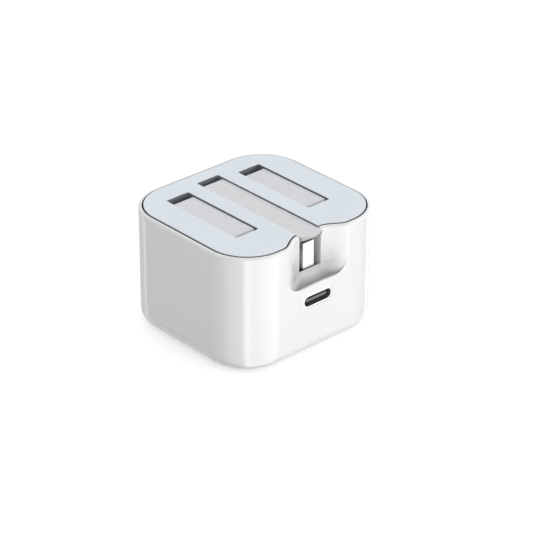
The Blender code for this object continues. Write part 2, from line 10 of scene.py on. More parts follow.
import bmesh
import bpy
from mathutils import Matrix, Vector

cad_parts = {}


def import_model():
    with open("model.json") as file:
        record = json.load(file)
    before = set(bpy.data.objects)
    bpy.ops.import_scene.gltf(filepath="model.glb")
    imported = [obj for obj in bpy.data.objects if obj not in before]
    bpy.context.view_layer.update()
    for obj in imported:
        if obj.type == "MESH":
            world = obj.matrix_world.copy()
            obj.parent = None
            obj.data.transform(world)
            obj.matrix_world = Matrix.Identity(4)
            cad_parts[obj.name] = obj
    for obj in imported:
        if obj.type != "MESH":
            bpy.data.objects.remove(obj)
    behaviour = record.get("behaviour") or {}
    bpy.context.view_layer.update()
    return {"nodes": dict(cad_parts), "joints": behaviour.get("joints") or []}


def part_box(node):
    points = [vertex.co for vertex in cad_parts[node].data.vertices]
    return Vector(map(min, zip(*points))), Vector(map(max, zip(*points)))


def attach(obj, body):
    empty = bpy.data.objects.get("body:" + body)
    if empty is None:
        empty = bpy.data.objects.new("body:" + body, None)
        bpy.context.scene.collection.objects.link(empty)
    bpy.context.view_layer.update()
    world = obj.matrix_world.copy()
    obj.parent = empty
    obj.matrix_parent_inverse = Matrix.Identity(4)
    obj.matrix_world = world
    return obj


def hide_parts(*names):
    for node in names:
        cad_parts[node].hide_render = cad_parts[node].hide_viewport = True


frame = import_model()

MM = 0.001

# Points nearer than this, in metres, are one point
CLOSE = 1e-7

# How far a cutter stands out past what it cuts
OVER = 1.0


def box_mm(node):
    """The lowest and highest corners of a CAD node, in millimetres."""
    low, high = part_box(node)
    return [c / MM for c in low], [c / MM for c in high]


# Sizes read from the frame
SHELL_LOW, SHELL_HIGH = box_mm("housing_shell")
PLATE_LOW, PLATE_HIGH = box_mm("pin_face_plate")
BAR_LOW, BAR_HIGH = box_mm("earth_pin_bar")
PAD_LOW, PAD_HIGH = box_mm("thumb_pad")
PORT_LOW, PORT_HIGH = box_mm("usb_c_shell")
HALF_X = SHELL_HIGH[0]
HALF_Y = SHELL_HIGH[1]
HEIGHT = SHELL_HIGH[2]
SEAT_Z = PLATE_LOW[2]
PORT_Z = (PORT_LOW[2] + PORT_HIGH[2]) / 2
LEVER_JOINT = next(joint for joint in frame["joints"] if joint["name"] == "earth_lever_hinge")
LEVER_Y, LEVER_Z = (c / MM for c in LEVER_JOINT["pos_m"][1:])
AXLE_RADIUS = box_mm("earth_axle")[1][2] - LEVER_Z

# The housing's surface: RIM is the width of its top edge and RIM_DROP how far that lies under the pin face
CORNER = 11.2
FOOT_ROUND = 3.2
RIM_ROUND = 0.6
RIM_DROP = 0.18
RIM = 0.83
RIM_SOFT = 0.08
LEDGE_DROP = 0.1
WALL = 2.0
FLOOR = 2.2
FLOOR_SOFT = 1.0

# The thick block behind the notch
BLOCK_HALF = 10.6
BLOCK_END = 11.6
BLOCK_BACK = -16.7
BLOCK_LOW = 16.2
BLOCK_STEP = 0.05

# The thumb notch
NOTCH_HALF = 9.9
NOTCH_FLAT = 3.3
NOTCH_DEPTH = 2.85
NOTCH_LOW = 17.9
NOTCH_CORNER_X = 5.7
NOTCH_CORNER = 3.2
NOTCH_FLOOR = 2.6
NOTCH_LIP = 0.7
CHANNEL_HALF = (BAR_HIGH[0] - BAR_LOW[0]) / 2 + 0.15
SWEEP_RADIUS = 11.6

# The port's mouth
NEARLY_ROUND = 0.995
PORT_FIT = 0.05
PORT_SKIN = 0.03
PORT_WALL = 0.3
PORT_FRONT = -HALF_Y + 0.08
BASE_SET_BACK = 6.0
TONGUE_SET_BACK = 0.5
TONGUE_HALF = 3.34
TONGUE_THICK = 0.7
TONGUE_CORNER = 0.5
TONGUE_ROOT = 0.5
PORT_EASE = 0.05
BASE_EASE = 0.06

# The pins: their chamfered tips and eased edges
TIP_CHAMFER = 0.7
PIN_EASE = 0.22
BAR_EASE = 0.13
BORE_PLAY = 0.07

# The earth bar's rounded nose, and its lip that thins towards it over the thumb pad
LIP_TIP = 0.3
LIP_FIT = 0.03
NOSE_BULGE = 1.3
NOSE_STEPS = 16

# The web under the thumb pad, which stands a little ahead of it
WEB_HALF = 1.75
WEB_AHEAD = 1.3
WEB_THICK = 1.8
WEB_BELOW_PAD_TOP = 0.5
PAD_EASE = 0.15

# The pin face, with a wider look of the seam round it, and its slots
SEAM_EXTRA = 0.24
FACE_SOFT = 0.12
SLOT_CORNER = 0.35
SLOT_EASE = 0.06
SLOT_SIDE = 0.15
SLOT_FRONT_GAP = 0.66
SLOT_BACK = 14.71
LEVER_SLOT_BACK = 16.83


# ---------------------------------------------------------------- meshes


def from_bmesh(name, bm, look, smooth_angle=None):
    """An object from a bmesh in metres, smooth-shaded below the given angle."""
    if bm.calc_volume(signed=True) < 0:
        bmesh.ops.reverse_faces(bm, faces=bm.faces)
    mesh = bpy.data.meshes.new(name)
    bm.to_mesh(mesh)
    bm.free()
    item = bpy.data.objects.new(name, mesh)
    bpy.context.scene.collection.objects.link(item)
    if look is not None:
        mesh.materials.append(look)
    shade(item, smooth_angle)
    return item


def shade(item, angle):
    if angle is None:
        return
    mesh = item.data
    mesh.polygons.foreach_set("use_smooth", [True] * len(mesh.polygons))
    mesh.set_sharp_from_angle(angle=math.radians(angle))


def bake(item, smooth_angle=None):
    """Apply every modifier of an object and shade the result."""
    graph = bpy.context.evaluated_depsgraph_get()
    baked = bpy.data.meshes.new_from_object(item.evaluated_get(graph))
    item.modifiers.clear()
    item.data = baked
    shade(item, smooth_angle)
    return item


def combine(item, others, operation):
    """Cut the other solids out of the object or join them to it, then remove them."""
    for other in others:
        step = item.modifiers.new("combine", "BOOLEAN")
        step.operation = operation
        step.object = other
        step.material_mode = "TRANSFER" if other.data.materials else "INDEX"
    bpy.context.view_layer.update()
    bake(item)
    for other in others:
        bpy.data.objects.remove(other, do_unlink=True)


def soften(item, width, segments=2, angle=35, smooth_angle=40):
    """Round the edges that are sharper than the angle."""
    step = item.modifiers.new("soften", "BEVEL")
    step.width = width * MM
    step.segments = segments
    step.limit_method = "ANGLE"
    step.angle_limit = math.radians(angle)
    bpy.context.view_layer.update()
    bake(item, smooth_angle)
    if smooth_angle is not None:
        even = item.modifiers.new("even_normals", "WEIGHTED_NORMAL")
        even.weight = 100
        even.keep_sharp = True
    return item


def box_mesh(low, high):
    """A box between two corners in millimetres."""
    bm = bmesh.new()
    bmesh.ops.create_cube(bm, size=1.0)
    size = Vector([b - a for a, b in zip(low, high)]) * MM
    middle = Vector([b + a for a, b in zip(low, high)]) * MM / 2
    bmesh.ops.scale(bm, vec=size, verts=bm.verts)
    bmesh.ops.translate(bm, vec=middle, verts=bm.verts)
    return bm


def rounded_box(name, low, high, look=None, corner=0.0, steps=6, axis=2):
    """A box whose edges along one axis are rounded."""
    bm = box_mesh(low, high)
    if corner:
        edges = [e for e in bm.edges if abs((e.verts[1].co - e.verts[0].co).normalized()[axis]) > 0.99]
        bmesh.ops.bevel(
            bm, geom=edges, offset=corner * MM, segments=steps, profile=0.5, affect="EDGES"
        )
    return from_bmesh(name, bm, look)


def pin_mesh(low, high, tip_y):
    """A bar along Y with a chamfered tip."""
    bm = box_mesh(low, high)
    tip = [e for e in bm.edges if all(abs(v.co.y - tip_y * MM) < CLOSE for v in e.verts)]
    bmesh.ops.bevel(bm, geom=tip, offset=TIP_CHAMFER * MM, segments=4, profile=0.5, affect="EDGES")
    return bm


def cylinder_along_x(name, half, y, z, radius, look=None, sides=96):
    bm = bmesh.new()
    bmesh.ops.create_cone(
        bm, cap_ends=True, segments=sides, radius1=radius * MM, radius2=radius * MM, depth=2 * half * MM
    )
    for v in bm.verts:
        v.co = Vector((v.co.z, v.co.x + y * MM, v.co.y + z * MM))
    bmesh.ops.recalc_face_normals(bm, faces=bm.faces)
    return from_bmesh(name, bm, look)


def prism(name, outline, axis, low, high):
    """A cutter along X or Z, from its outline of (y, z) or (x, y) points."""
    bm = bmesh.new()
    rings = []
    for end in (low, high):
        corners = [(end, *point) if axis == "X" else (*point, end) for point in outline]
        rings.append([bm.verts.new(Vector(corner) * MM) for corner in corners])
    for i in range(len(outline)):
        j = (i + 1) % len(outline)
        bm.faces.new((rings[0][i], rings[0][j], rings[1][j], rings[1][i]))
    bm.faces.new(reversed(rings[0]))
    bm.faces.new(rings[1])
    bmesh.ops.recalc_face_normals(bm, faces=bm.faces)
    return from_bmesh(name, bm, None)


def bell(x):
    """How deep the notch's plan goes at x, and its slope there."""
    run = NOTCH_HALF - NOTCH_FLAT
    share = (abs(x) - NOTCH_FLAT) / run
    if share <= 0:
        return NOTCH_DEPTH, 0.0
    if share >= 1:
        return 0.0, 0.0
    depth = NOTCH_DEPTH * (1 + math.cos(math.pi * share)) / 2
    slope = -NOTCH_DEPTH * math.pi / 2 / run * math.sin(math.pi * share)
    return depth, math.copysign(1, x) * slope


def stations():
    """Points round the outline: (x, y, normal x, normal y, True on the front's straight)."""
    flat_x, flat_y = HALF_X - CORNER, HALF_Y - CORNER
    points = []
    fine, coarse, arc = 96, 8, 28

    def straight(start, end, normal, count, front):
        for i in range(count):
            share = i / count
            x = start[0] + (end[0] - start[0]) * share
            y = start[1] + (end[1] - start[1]) * share
            points.append((x, y, *normal, front))

    def corner(cx, cy, first):
        for i in range(arc):
            angle = math.radians(first + 90 * i / arc)
            nx, ny = math.cos(angle), math.sin(angle)
            points.append((cx + CORNER * nx, cy + CORNER * ny, nx, ny, False))

    straight((-flat_x, -HALF_Y), (flat_x, -HALF_Y), (0, -1), fine, True)
    corner(flat_x, -flat_y, -90)
    straight((HALF_X, -flat_y), (HALF_X, flat_y), (1, 0), coarse, False)
    corner(flat_x, flat_y, 0)
    straight((flat_x, HALF_Y), (-flat_x, HALF_Y), (0, 1), coarse, False)
    corner(-flat_x, flat_y, 90)
    straight((-HALF_X, flat_y), (-HALF_X, -flat_y), (-1, 0), coarse, False)
    corner(-flat_x, -flat_y, 180)
    return points


def ring_point(station, inset, depth_share=1.0, lip=0.0):
    """A point of the outline moved inwards; on the front it follows the notch's bell."""
    x, y, nx, ny, front = station
    if front:
        depth, slope = bell(x)
        lip_depth = lip * depth / NOTCH_DEPTH
        y += lip_depth + (depth - lip_depth) * depth_share
        slope *= depth_share
        tilt = math.hypot(1, slope)
        nx, ny = slope / tilt, -1 / tilt
    return x - inset * nx, y - inset * ny


def notch_low(x):
    """The height of the notch's lip: level in the middle and rising at its corners."""
    share = min(max((abs(x) - NOTCH_CORNER_X) / NOTCH_CORNER, 0.0), 1.0)
    return NOTCH_LOW + NOTCH_CORNER * (1 - math.sqrt(1 - share * share))


def outer_rows(points):
    """Rows of the housing's outside, from the base up to the inner edge of the rim."""
    rows = []
    foot_steps, rise_steps, lip_steps, floor_steps, wall_steps, rim_steps = 10, 4, 6, 12, 6, 6
    for i in range(foot_steps):
        angle = math.pi / 2 * i / foot_steps
        inset = FOOT_ROUND * (1 - math.sin(angle))
        z = FOOT_ROUND * (1 - math.cos(angle))
        rows.append([(*ring_point(p, inset, 0.0), z) for p in points])
    for i in range(rise_steps):
        share = i / rise_steps
        row = []
        for p in points:
            top = notch_low(p[0]) - NOTCH_LIP
            row.append((*ring_point(p, 0.0, 0.0), FOOT_ROUND + (top - FOOT_ROUND) * share))
        rows.append(row)
    for i in range(lip_steps):
        angle = math.pi / 2 * i / lip_steps
        row = []
        for p in points:
            z = notch_low(p[0]) - NOTCH_LIP * (1 - math.sin(angle))
            row.append((*ring_point(p, 0.0, 0.0, NOTCH_LIP * (1 - math.cos(angle))), z))
        rows.append(row)
    for i in range(floor_steps):
        angle = math.pi / 2 * i / floor_steps
        row = []
        for p in points:
            z = notch_low(p[0]) + NOTCH_FLOOR * (1 - math.cos(angle))
            row.append((*ring_point(p, 0.0, math.sin(angle), NOTCH_LIP), z))
        rows.append(row)
    rim_low = HEIGHT - RIM_DROP - RIM_ROUND
    for i in range(wall_steps):
        share = i / wall_steps
        row = []
        for p in points:
            low = notch_low(p[0]) + NOTCH_FLOOR
            row.append((*ring_point(p, 0.0), low + (rim_low - low) * share))
        rows.append(row)
    for i in range(rim_steps + 1):
        angle = math.pi / 2 * i / rim_steps
        inset = RIM_ROUND * (1 - math.cos(angle))
        z = rim_low + RIM_ROUND * math.sin(angle)
        rows.append([(*ring_point(p, inset), z) for p in points])
    return rows


def inner_rows(points):
    """Rows of the housing's inside, from the plate seat down to the floor."""
    ledge = SEAT_Z - LEDGE_DROP
    top = HEIGHT - RIM_DROP
    rows = [
        [(*ring_point(p, RIM - RIM_SOFT), top) for p in points],
        [(*ring_point(p, RIM), top - RIM_SOFT) for p in points],
        [(*ring_point(p, RIM), ledge) for p in points],
    ]

    def inside(p, block):
        x, y = p[0] - WALL * p[2], p[1] - WALL * p[3]
        if block and p[4]:
            share = min(max((BLOCK_END - abs(x)) / (BLOCK_END - BLOCK_HALF), 0.0), 1.0)
            y += (BLOCK_BACK + HALF_Y - WALL) * share
        return x, y

    rows.append([(*inside(p, True), ledge) for p in points])
    rows.append([(*inside(p, True), BLOCK_LOW) for p in points])
    rows.append([(*inside(p, False), BLOCK_LOW - BLOCK_STEP) for p in points])
    rows.append([(*inside(p, False), FLOOR + FLOOR_SOFT) for p in points])
    inset = WALL + FLOOR_SOFT
    rows.append([(p[0] - inset * p[2], p[1] - inset * p[3], FLOOR) for p in points])
    return rows


def loft(name, rows, look, smooth_angle, second_look_from=None):
    """A closed solid through rings of equal length, capped at both ends."""
    bm = bmesh.new()
    rings = [[bm.verts.new(Vector(co) * MM) for co in row] for row in rows]
    count = len(rows[0])
    for number, (lower, upper) in enumerate(zip(rings, rings[1:])):
        for i in range(count):
            j = (i + 1) % count
            face = bm.faces.new((lower[i], lower[j], upper[j], upper[i]))
            if second_look_from is not None and number >= second_look_from:
                face.material_index = 1
    bm.faces.new(reversed(rings[0]))
    last = bm.faces.new(rings[-1])
    last.material_index = 0 if second_look_from is None else 1
    bmesh.ops.remove_doubles(bm, verts=bm.verts, dist=CLOSE)
    bmesh.ops.dissolve_degenerate(bm, edges=bm.edges, dist=CLOSE)
    bmesh.ops.recalc_face_normals(bm, faces=bm.faces)
    return from_bmesh(name, bm, look, smooth_angle)


def port_outline_cutter(name, grow, front, back, steps=12):
    """The port's oval as a cutter along Y."""
    half_x = (PORT_HIGH[0] - PORT_LOW[0]) / 2 + grow
    half_z = (PORT_HIGH[2] - PORT_LOW[2]) / 2 + grow
    return rounded_box(
        name,
        (-half_x, front, PORT_Z - half_z),
        (half_x, back, PORT_Z + half_z),
        corner=half_z * NEARLY_ROUND,
        steps=steps,
        axis=1,
    )


# ---------------------------------------------------------------- materials


def shader_nodes(name):
    look = bpy.data.materials.new(name)
    look.use_nodes = True
    tree = look.node_tree
    return look, tree, tree.nodes["Principled BSDF"]


def noise(tree, scale, detail=2.0, stretch=(1, 1, 1), roughness=0.5):
    """Noise over the object's own metres, stretched by its mapping."""
    place = tree.nodes.new("ShaderNodeTexCoord")
    mapping = tree.nodes.new("ShaderNodeMapping")
    mapping.inputs["Scale"].default_value = stretch
    tree.links.new(place.outputs["Object"], mapping.inputs["Vector"])
    made = tree.nodes.new("ShaderNodeTexNoise")
    made.inputs["Scale"].default_value = scale
    made.inputs["Detail"].default_value = detail
    made.inputs["Roughness"].default_value = roughness
    tree.links.new(mapping.outputs["Vector"], made.inputs["Vector"])
    return made.outputs["Fac"]


def ramp(tree, source, low, high, start=0.35, end=0.65):
    """Map a 0 to 1 value between two colours."""
    made = tree.nodes.new("ShaderNodeValToRGB")
    made.color_ramp.elements[0].position = start
    made.color_ramp.elements[0].color = (*low, 1)
    made.color_ramp.elements[1].position = end
    made.color_ramp.elements[1].color = (*high, 1)
    tree.links.new(source, made.inputs["Fac"])
    return made.outputs["Color"]


def spread(tree, source, low, high, start=0.0, end=1.0):
    """Map a value from start to end between two numbers."""
    made = tree.nodes.new("ShaderNodeMapRange")
    made.inputs["From Min"].default_value = start
    made.inputs["From Max"].default_value = end
    made.inputs["To Min"].default_value = low
    made.inputs["To Max"].default_value = high
    tree.links.new(source, made.inputs["Value"])
    return made.outputs["Result"]


def bump(tree, shader, height, strength, distance):
    made = tree.nodes.new("ShaderNodeBump")
    made.inputs["Strength"].default_value = strength
    made.inputs["Distance"].default_value = distance * MM
    tree.links.new(height, made.inputs["Height"])
    tree.links.new(made.outputs["Normal"], shader.inputs["Normal"])


def tinted(colour, change):
    return tuple(min(max(c * (1 + change), 0.0), 1.0) for c in colour)


def hollow_shade(tree, colour, reach, closed_at, open_at, darkest, alone):
    """Darken a colour in the hollows, by how much of the sky is open within the reach."""
    sky = tree.nodes.new("ShaderNodeAmbientOcclusion")
    sky.inputs["Distance"].default_value = reach * MM
    sky.samples = 12
    sky.only_local = alone
    share = spread(tree, sky.outputs["AO"], darkest, 1.0, closed_at, open_at)
    made = tree.nodes.new("ShaderNodeMix")
    made.data_type = "RGBA"
    made.blend_type = "MULTIPLY"
    made.inputs["Factor"].default_value = 1.0
    tree.links.new(colour, made.inputs["A"])
    tree.links.new(share, made.inputs["B"])
    return made.outputs["Result"]


def plastic(name, colour, roughness, grain=600, bump_depth=0.004, vary=0.015, coat=0.0, painted_hollow_shade=None):
    """Moulded plastic: a faint cloud in its colour, uneven gloss, a fine moulded texture and, where asked,
    painted shade in its hollows.
    """
    look, tree, shader = shader_nodes(name)
    cloud = noise(tree, 90, 3)
    base = ramp(tree, cloud, tinted(colour, -vary), tinted(colour, vary))
    if painted_hollow_shade is not None:
        base = hollow_shade(tree, base, *painted_hollow_shade)
    tree.links.new(base, shader.inputs["Base Color"])
    patches = noise(tree, 260, 4)
    tree.links.new(
        spread(tree, patches, roughness * 0.85, roughness * 1.15), shader.inputs["Roughness"]
    )
    shader.inputs["Coat Weight"].default_value = coat
    shader.inputs["Coat Roughness"].default_value = 0.05
    bump(tree, shader, noise(tree, grain, 3), 0.5, bump_depth)
    return look


def nylon(name, colour):
    return plastic(name, colour, 0.5, 1500, 0.02, 0.2)


def lead_sleeve(name, colour):
    return plastic(name, colour, 0.45, 900, 0.01, 0.1)


def metal(name, colour, roughness, along=1, grain=9000, bump_depth=0.003, metallic=1.0):
    """Drawn or plated metal with fine lines along one axis."""
    look, tree, shader = shader_nodes(name)
    shader.inputs["Metallic"].default_value = metallic
    stretch = [1.0, 1.0, 1.0]
    stretch[along] = 0.03
    lines = noise(tree, grain, 3, stretch)
    tree.links.new(
        ramp(tree, lines, tinted(colour, -0.05), tinted(colour, 0.03)), shader.inputs["Base Color"]
    )
    tree.links.new(
        spread(tree, noise(tree, 500, 4), roughness * 0.8, roughness * 1.25), shader.inputs["Roughness"]
    )
    bump(tree, shader, lines, 0.25, bump_depth)
    return look


def speckled(name, colour, roughness, specks=2500, contrast=0.35):
    """A sintered, dipped or laminated surface with fine specks."""
    look, tree, shader = shader_nodes(name)
    grains = noise(tree, specks, 5, roughness=0.7)
    tree.links.new(
        ramp(tree, grains, tinted(colour, -contrast), tinted(colour, contrast)), shader.inputs["Base Color"]
    )
    tree.links.new(spread(tree, grains, roughness * 0.8, roughness * 1.2), shader.inputs["Roughness"])
    bump(tree, shader, grains, 0.4, 0.01)
    return look


def wound(name, colour, roughness, pitch, axis, metallic=1.0):
    """Wire or tape wound in even turns along one axis, with light bands at the pitch."""
    wave_radians = 20
    look, tree, shader = shader_nodes(name)
    place = tree.nodes.new("ShaderNodeTexCoord")
    turns = tree.nodes.new("ShaderNodeTexWave")
    turns.wave_type = "BANDS"
    turns.bands_direction = axis
    turns.inputs["Scale"].default_value = 2 * math.pi / (pitch * MM) / wave_radians
    turns.inputs["Distortion"].default_value = 0.3
    tree.links.new(place.outputs["Object"], turns.inputs["Vector"])
    tree.links.new(
        ramp(tree, turns.outputs["Fac"], tinted(colour, -0.4), tinted(colour, 0.1), 0.2, 0.8),
        shader.inputs["Base Color"],
    )
    shader.inputs["Metallic"].default_value = metallic
    shader.inputs["Roughness"].default_value = roughness
    bump(tree, shader, turns.outputs["Fac"], 0.5, 0.05)
    return look


# ---------------------------------------------------------------- pieces


def housing(look, inside_shade_look, channel_look):
    points = stations()
    outside = outer_rows(points)
    # The inside rows, from the rim's inner wall down, take the second material, which is painted shade.
    shell = loft("housing", outside + inner_rows(points), look, 40, len(outside) + 1)
    shell.data.materials.append(inside_shade_look)
    sweep = cylinder_along_x("sweep", CHANNEL_HALF, LEVER_Y, LEVER_Z, SWEEP_RADIUS, channel_look)
    port = port_outline_cutter("port_hole", PORT_FIT, -HALF_Y - OVER, -HALF_Y + WALL + OVER)
    combine(shell, [sweep, port], "DIFFERENCE")
    shade(shell, 40)
    return shell


def slot_box(name, x, front, back):
    half = (BAR_HIGH[0] - BAR_LOW[0]) / 2 + SLOT_SIDE
    low, high = (x - half, front, SEAT_Z - OVER), (x + half, back, HEIGHT + OVER)
    return rounded_box(name, low, high, corner=SLOT_CORNER, steps=4)


def pin_face(look, edge_shade_look):
    """The plate in the housing's rim; its edges and slot walls carry painted shade, darker than its face.
    """
    points = stations()
    inset = HALF_X - PLATE_HIGH[0] + SEAM_EXTRA
    eased = 0.3 * FACE_SOFT
    rows = [
        [(*ring_point(p, inset), SEAT_Z) for p in points],
        [(*ring_point(p, inset), HEIGHT - FACE_SOFT) for p in points],
        [(*ring_point(p, inset + eased), HEIGHT - eased) for p in points],
        [(*ring_point(p, inset + FACE_SOFT), HEIGHT) for p in points],
    ]
    plate = loft("pin_face", rows, look, 50)
    cutters = []
    for node in ("live_pin", "neutral_pin"):
        low, high = box_mm(node)
        x = (low[0] + high[0]) / 2
        cutters.append(slot_box(f"slot_{node}", x, low[1] - SLOT_FRONT_GAP, SLOT_BACK))
    cutters.append(slot_box("slot_earth", 0.0, -HALF_Y - 2 * OVER, LEVER_SLOT_BACK))
    combine(plate, cutters, "DIFFERENCE")
    soften(plate, SLOT_EASE, 2, 50, None)
    plate.data.shade_flat()
    plate.data.materials.append(edge_shade_look)
    # The upright faces take the second material, which is painted shade.
    for face in plate.data.polygons:
        upright = abs(face.normal.z) < 0.3
        face.material_index = 1 if upright else 0
    return plate


def flat_pin(name, node, look):
    """A flat pin with a chamfered tip and eased edges."""
    low, high = box_mm(node)
    pin = from_bmesh(name, pin_mesh(low, high, low[1]), look)
    return soften(pin, PIN_EASE, 3)


def nose_cutter():
    """All that lies ahead of the bar's slightly rounded nose."""
    half = BAR_HIGH[0] + OVER
    bulge = NOSE_BULGE * (half / BAR_HIGH[0]) ** 2
    front = BAR_LOW[1]
    outline = [(-half, front - 2 * OVER)]
    for i in range(NOSE_STEPS + 1):
        share = 2 * i / NOSE_STEPS - 1
        outline.append((half * share, front + bulge * share * share))
    outline.append((half, front - 2 * OVER))
    return prism("nose_cutter", outline, "Z", BAR_LOW[2] - OVER, BAR_HIGH[2] + OVER)


def under_lip_cutter():
    """The room for the thumb pad, and the wedge that thins the lip ahead of it."""
    ahead = BAR_LOW[1] - OVER
    below = BAR_LOW[2] - OVER
    pad_back = PAD_HIGH[1] + LIP_FIT
    pad_top = PAD_HIGH[2] + LIP_FIT
    tip_low = BAR_HIGH[2] - LIP_TIP
    outline = (
        (ahead, below),
        (pad_back, below),
        (pad_back, pad_top),
        (PAD_LOW[1] + WEB_AHEAD, pad_top),
        (BAR_LOW[1], tip_low),
        (ahead, tip_low),
    )
    return prism("under_lip", outline, "X", -BAR_HIGH[0] - OVER, BAR_HIGH[0] + OVER)


def earth_bar(look, lip_shade_look):
    """The earth pin bar: eased edges, a rounded nose and a lip that thins over the thumb pad."""
    bar = from_bmesh("earth_bar", pin_mesh(BAR_LOW, BAR_HIGH, BAR_HIGH[1]), look)
    bore_radius = AXLE_RADIUS + BORE_PLAY
    bore = cylinder_along_x("bore", BAR_HIGH[0] + OVER, LEVER_Y, LEVER_Z, bore_radius, sides=48)
    combine(bar, [under_lip_cutter(), nose_cutter(), bore], "DIFFERENCE")
    soften(bar, BAR_EASE, 3)
    bar.data.materials.append(lip_shade_look)
    # The lip's front and underside, ahead of the pad, take a darker copy of the metal: painted shade.
    for face in bar.data.polygons:
        ahead_of_pad = face.center.y < PAD_LOW[1] * MM
        not_on_top = face.normal.z < 0.6
        face.material_index = 1 if ahead_of_pad and not_on_top else 0
    return bar


def thumb_pad(look):
    """The pad under the lip, with the web that closes the channel below it."""
    half, front, back, top = PAD_HIGH[0], PAD_LOW[1], PAD_HIGH[1], PAD_HIGH[2]
    pad = rounded_box("pad", (-half, front + WEB_AHEAD, BAR_LOW[2]), (half, back, top), look)
    web = rounded_box(
        "web", (-WEB_HALF, front, PAD_LOW[2]), (WEB_HALF, front + WEB_THICK, top - WEB_BELOW_PAD_TOP)
    )
    combine(pad, [web], "UNION")
    return soften(pad, PAD_EASE, 3)


def receptacle_shell(look, bore_shade_look):
    """The port's steel oval, with painted shade inside: a darker copy of the steel."""
    back = PORT_HIGH[1]
    shell = port_outline_cutter("port_shell", PORT_FIT - PORT_SKIN, PORT_FRONT, back, 16)
    shell.data.materials.append(look)
    bore = port_outline_cutter("port_bore", -PORT_WALL, PORT_FRONT - OVER, back + OVER, 16)
    combine(shell, [bore], "DIFFERENCE")
    shell.data.materials.append(bore_shade_look)
    for face in shell.data.polygons:
        on_the_ends = abs(face.normal.y) >= 0.5
        face.material_index = 0 if on_the_ends else 1
    return soften(shell, PORT_EASE, 2, 50)


def receptacle_tongue(look):
    """The port's moulded base and its tongue."""
    base_front = PORT_LOW[1] + BASE_SET_BACK
    base_back = box_mm("usb_c_base")[1][1]
    base = port_outline_cutter("port_base", -PORT_WALL - PORT_SKIN, base_front, base_back, 16)
    base.data.materials.append(look)
    tongue = rounded_box(
        "tongue",
        (-TONGUE_HALF, PORT_FRONT + TONGUE_SET_BACK, PORT_Z - TONGUE_THICK / 2),
        (TONGUE_HALF, base_front + TONGUE_ROOT, PORT_Z + TONGUE_THICK / 2),
        corner=TONGUE_CORNER,
        steps=4,
    )
    combine(base, [tongue], "UNION")
    return soften(base, BASE_EASE, 2, 50)


def dress_hidden_parts():
    """Give every CAD node that stays in view a procedural finish of its own kind."""
    dressed = (
        (nylon("glass_filled_nylon", (0.045, 0.048, 0.052)), "pin_chassis"),
        (nylon("carrier_nylon", (0.05, 0.052, 0.055)), "pin_carrier"),
        (metal("axle_steel", (0.55, 0.56, 0.58), 0.2, 0), "earth_axle"),
        (metal("bronze", (0.7, 0.4, 0.2), 0.3, 2), "live_contact_spring", "neutral_contact_spring"),
        (lead_sleeve("brown_sleeve", (0.16, 0.06, 0.02)), "live_lead"),
        (lead_sleeve("blue_sleeve", (0.02, 0.07, 0.32)), "neutral_lead"),
        (metal("spring_steel", (0.4, 0.41, 0.43), 0.25, 0), "detent_spring"),
        (metal("screw_steel", (0.55, 0.56, 0.58), 0.3, 2), *(f"chassis_screw_{n}" for n in range(1, 5))),
        (speckled("solder_mask", (0.012, 0.11, 0.05), 0.35, 1200, 0.25), "main_board"),
        (metal("contact_gold", (0.85, 0.6, 0.22), 0.25, 1), "usb_c_contacts_upper", "usb_c_contacts_lower"),
        (speckled("ferrite", (0.04, 0.04, 0.043), 0.6), "transformer_core_lower", "transformer_core_upper"),
        (wound("winding_tape", (0.7, 0.45, 0.05), 0.4, 3.77, "Z", 0.0), "transformer_winding"),
        (
            plastic("capacitor_sleeve", (0.015, 0.03, 0.18), 0.3, 500, 0.02, 0.1),
            "bulk_capacitor_1",
            "bulk_capacitor_2",
        ),
        (speckled("film_capacitor_case", (0.7, 0.5, 0.04), 0.45, 900, 0.08), "x_capacitor"),
        (wound("copper_wire", (0.75, 0.32, 0.12), 0.25, 3.14, "Z"), "output_choke"),
        (speckled("power_epoxy", (0.02, 0.02, 0.022), 0.5), "output_rectifier", "bridge_rectifier"),
        (
            speckled("controller_epoxy", (0.018, 0.018, 0.02), 0.5),
            "power_delivery_controller",
            "switching_controller",
        ),
        (metal("capacitor_can", (0.7, 0.71, 0.72), 0.25, 2), "output_capacitor_1", "output_capacitor_2"),
        (speckled("fuse_ceramic", (0.7, 0.67, 0.6), 0.4, 1800, 0.06), "fuse"),
        (speckled("varistor_coat", (0.4, 0.03, 0.02), 0.4, 1500, 0.15), "varistor"),
        (speckled("disc_capacitor_coat", (0.04, 0.14, 0.4), 0.4, 1500, 0.15), "y_capacitor"),
        (wound("choke_wire", (0.1, 0.4, 0.16), 0.35, 4.4, "X", 0.3), "common_mode_choke"),
        (metal("rolled_aluminium", (0.72, 0.73, 0.74), 0.35, 1), "heat_spreader"),
        (plastic("barrier_film", (0.75, 0.72, 0.6), 0.45, 300, 0.02, 0.05), "barrier_sheet"),
    )
    for look, *nodes in dressed:
        for node in nodes:
            mesh = frame["nodes"][node].data
            mesh.materials.clear()
            mesh.materials.append(look)


# ---------------------------------------------------------------- stage


CAMERA_AZIMUTH = -41.9
CAMERA_ELEVATION = 28.7
CAMERA_DISTANCE = 0.5516
CAMERA_TARGET = Vector((0, 0, 0.0145))
SENSOR = 36.0
FOCAL = 158.47
SHIFT_X = 0.0222
SHIFT_Y = -0.0096


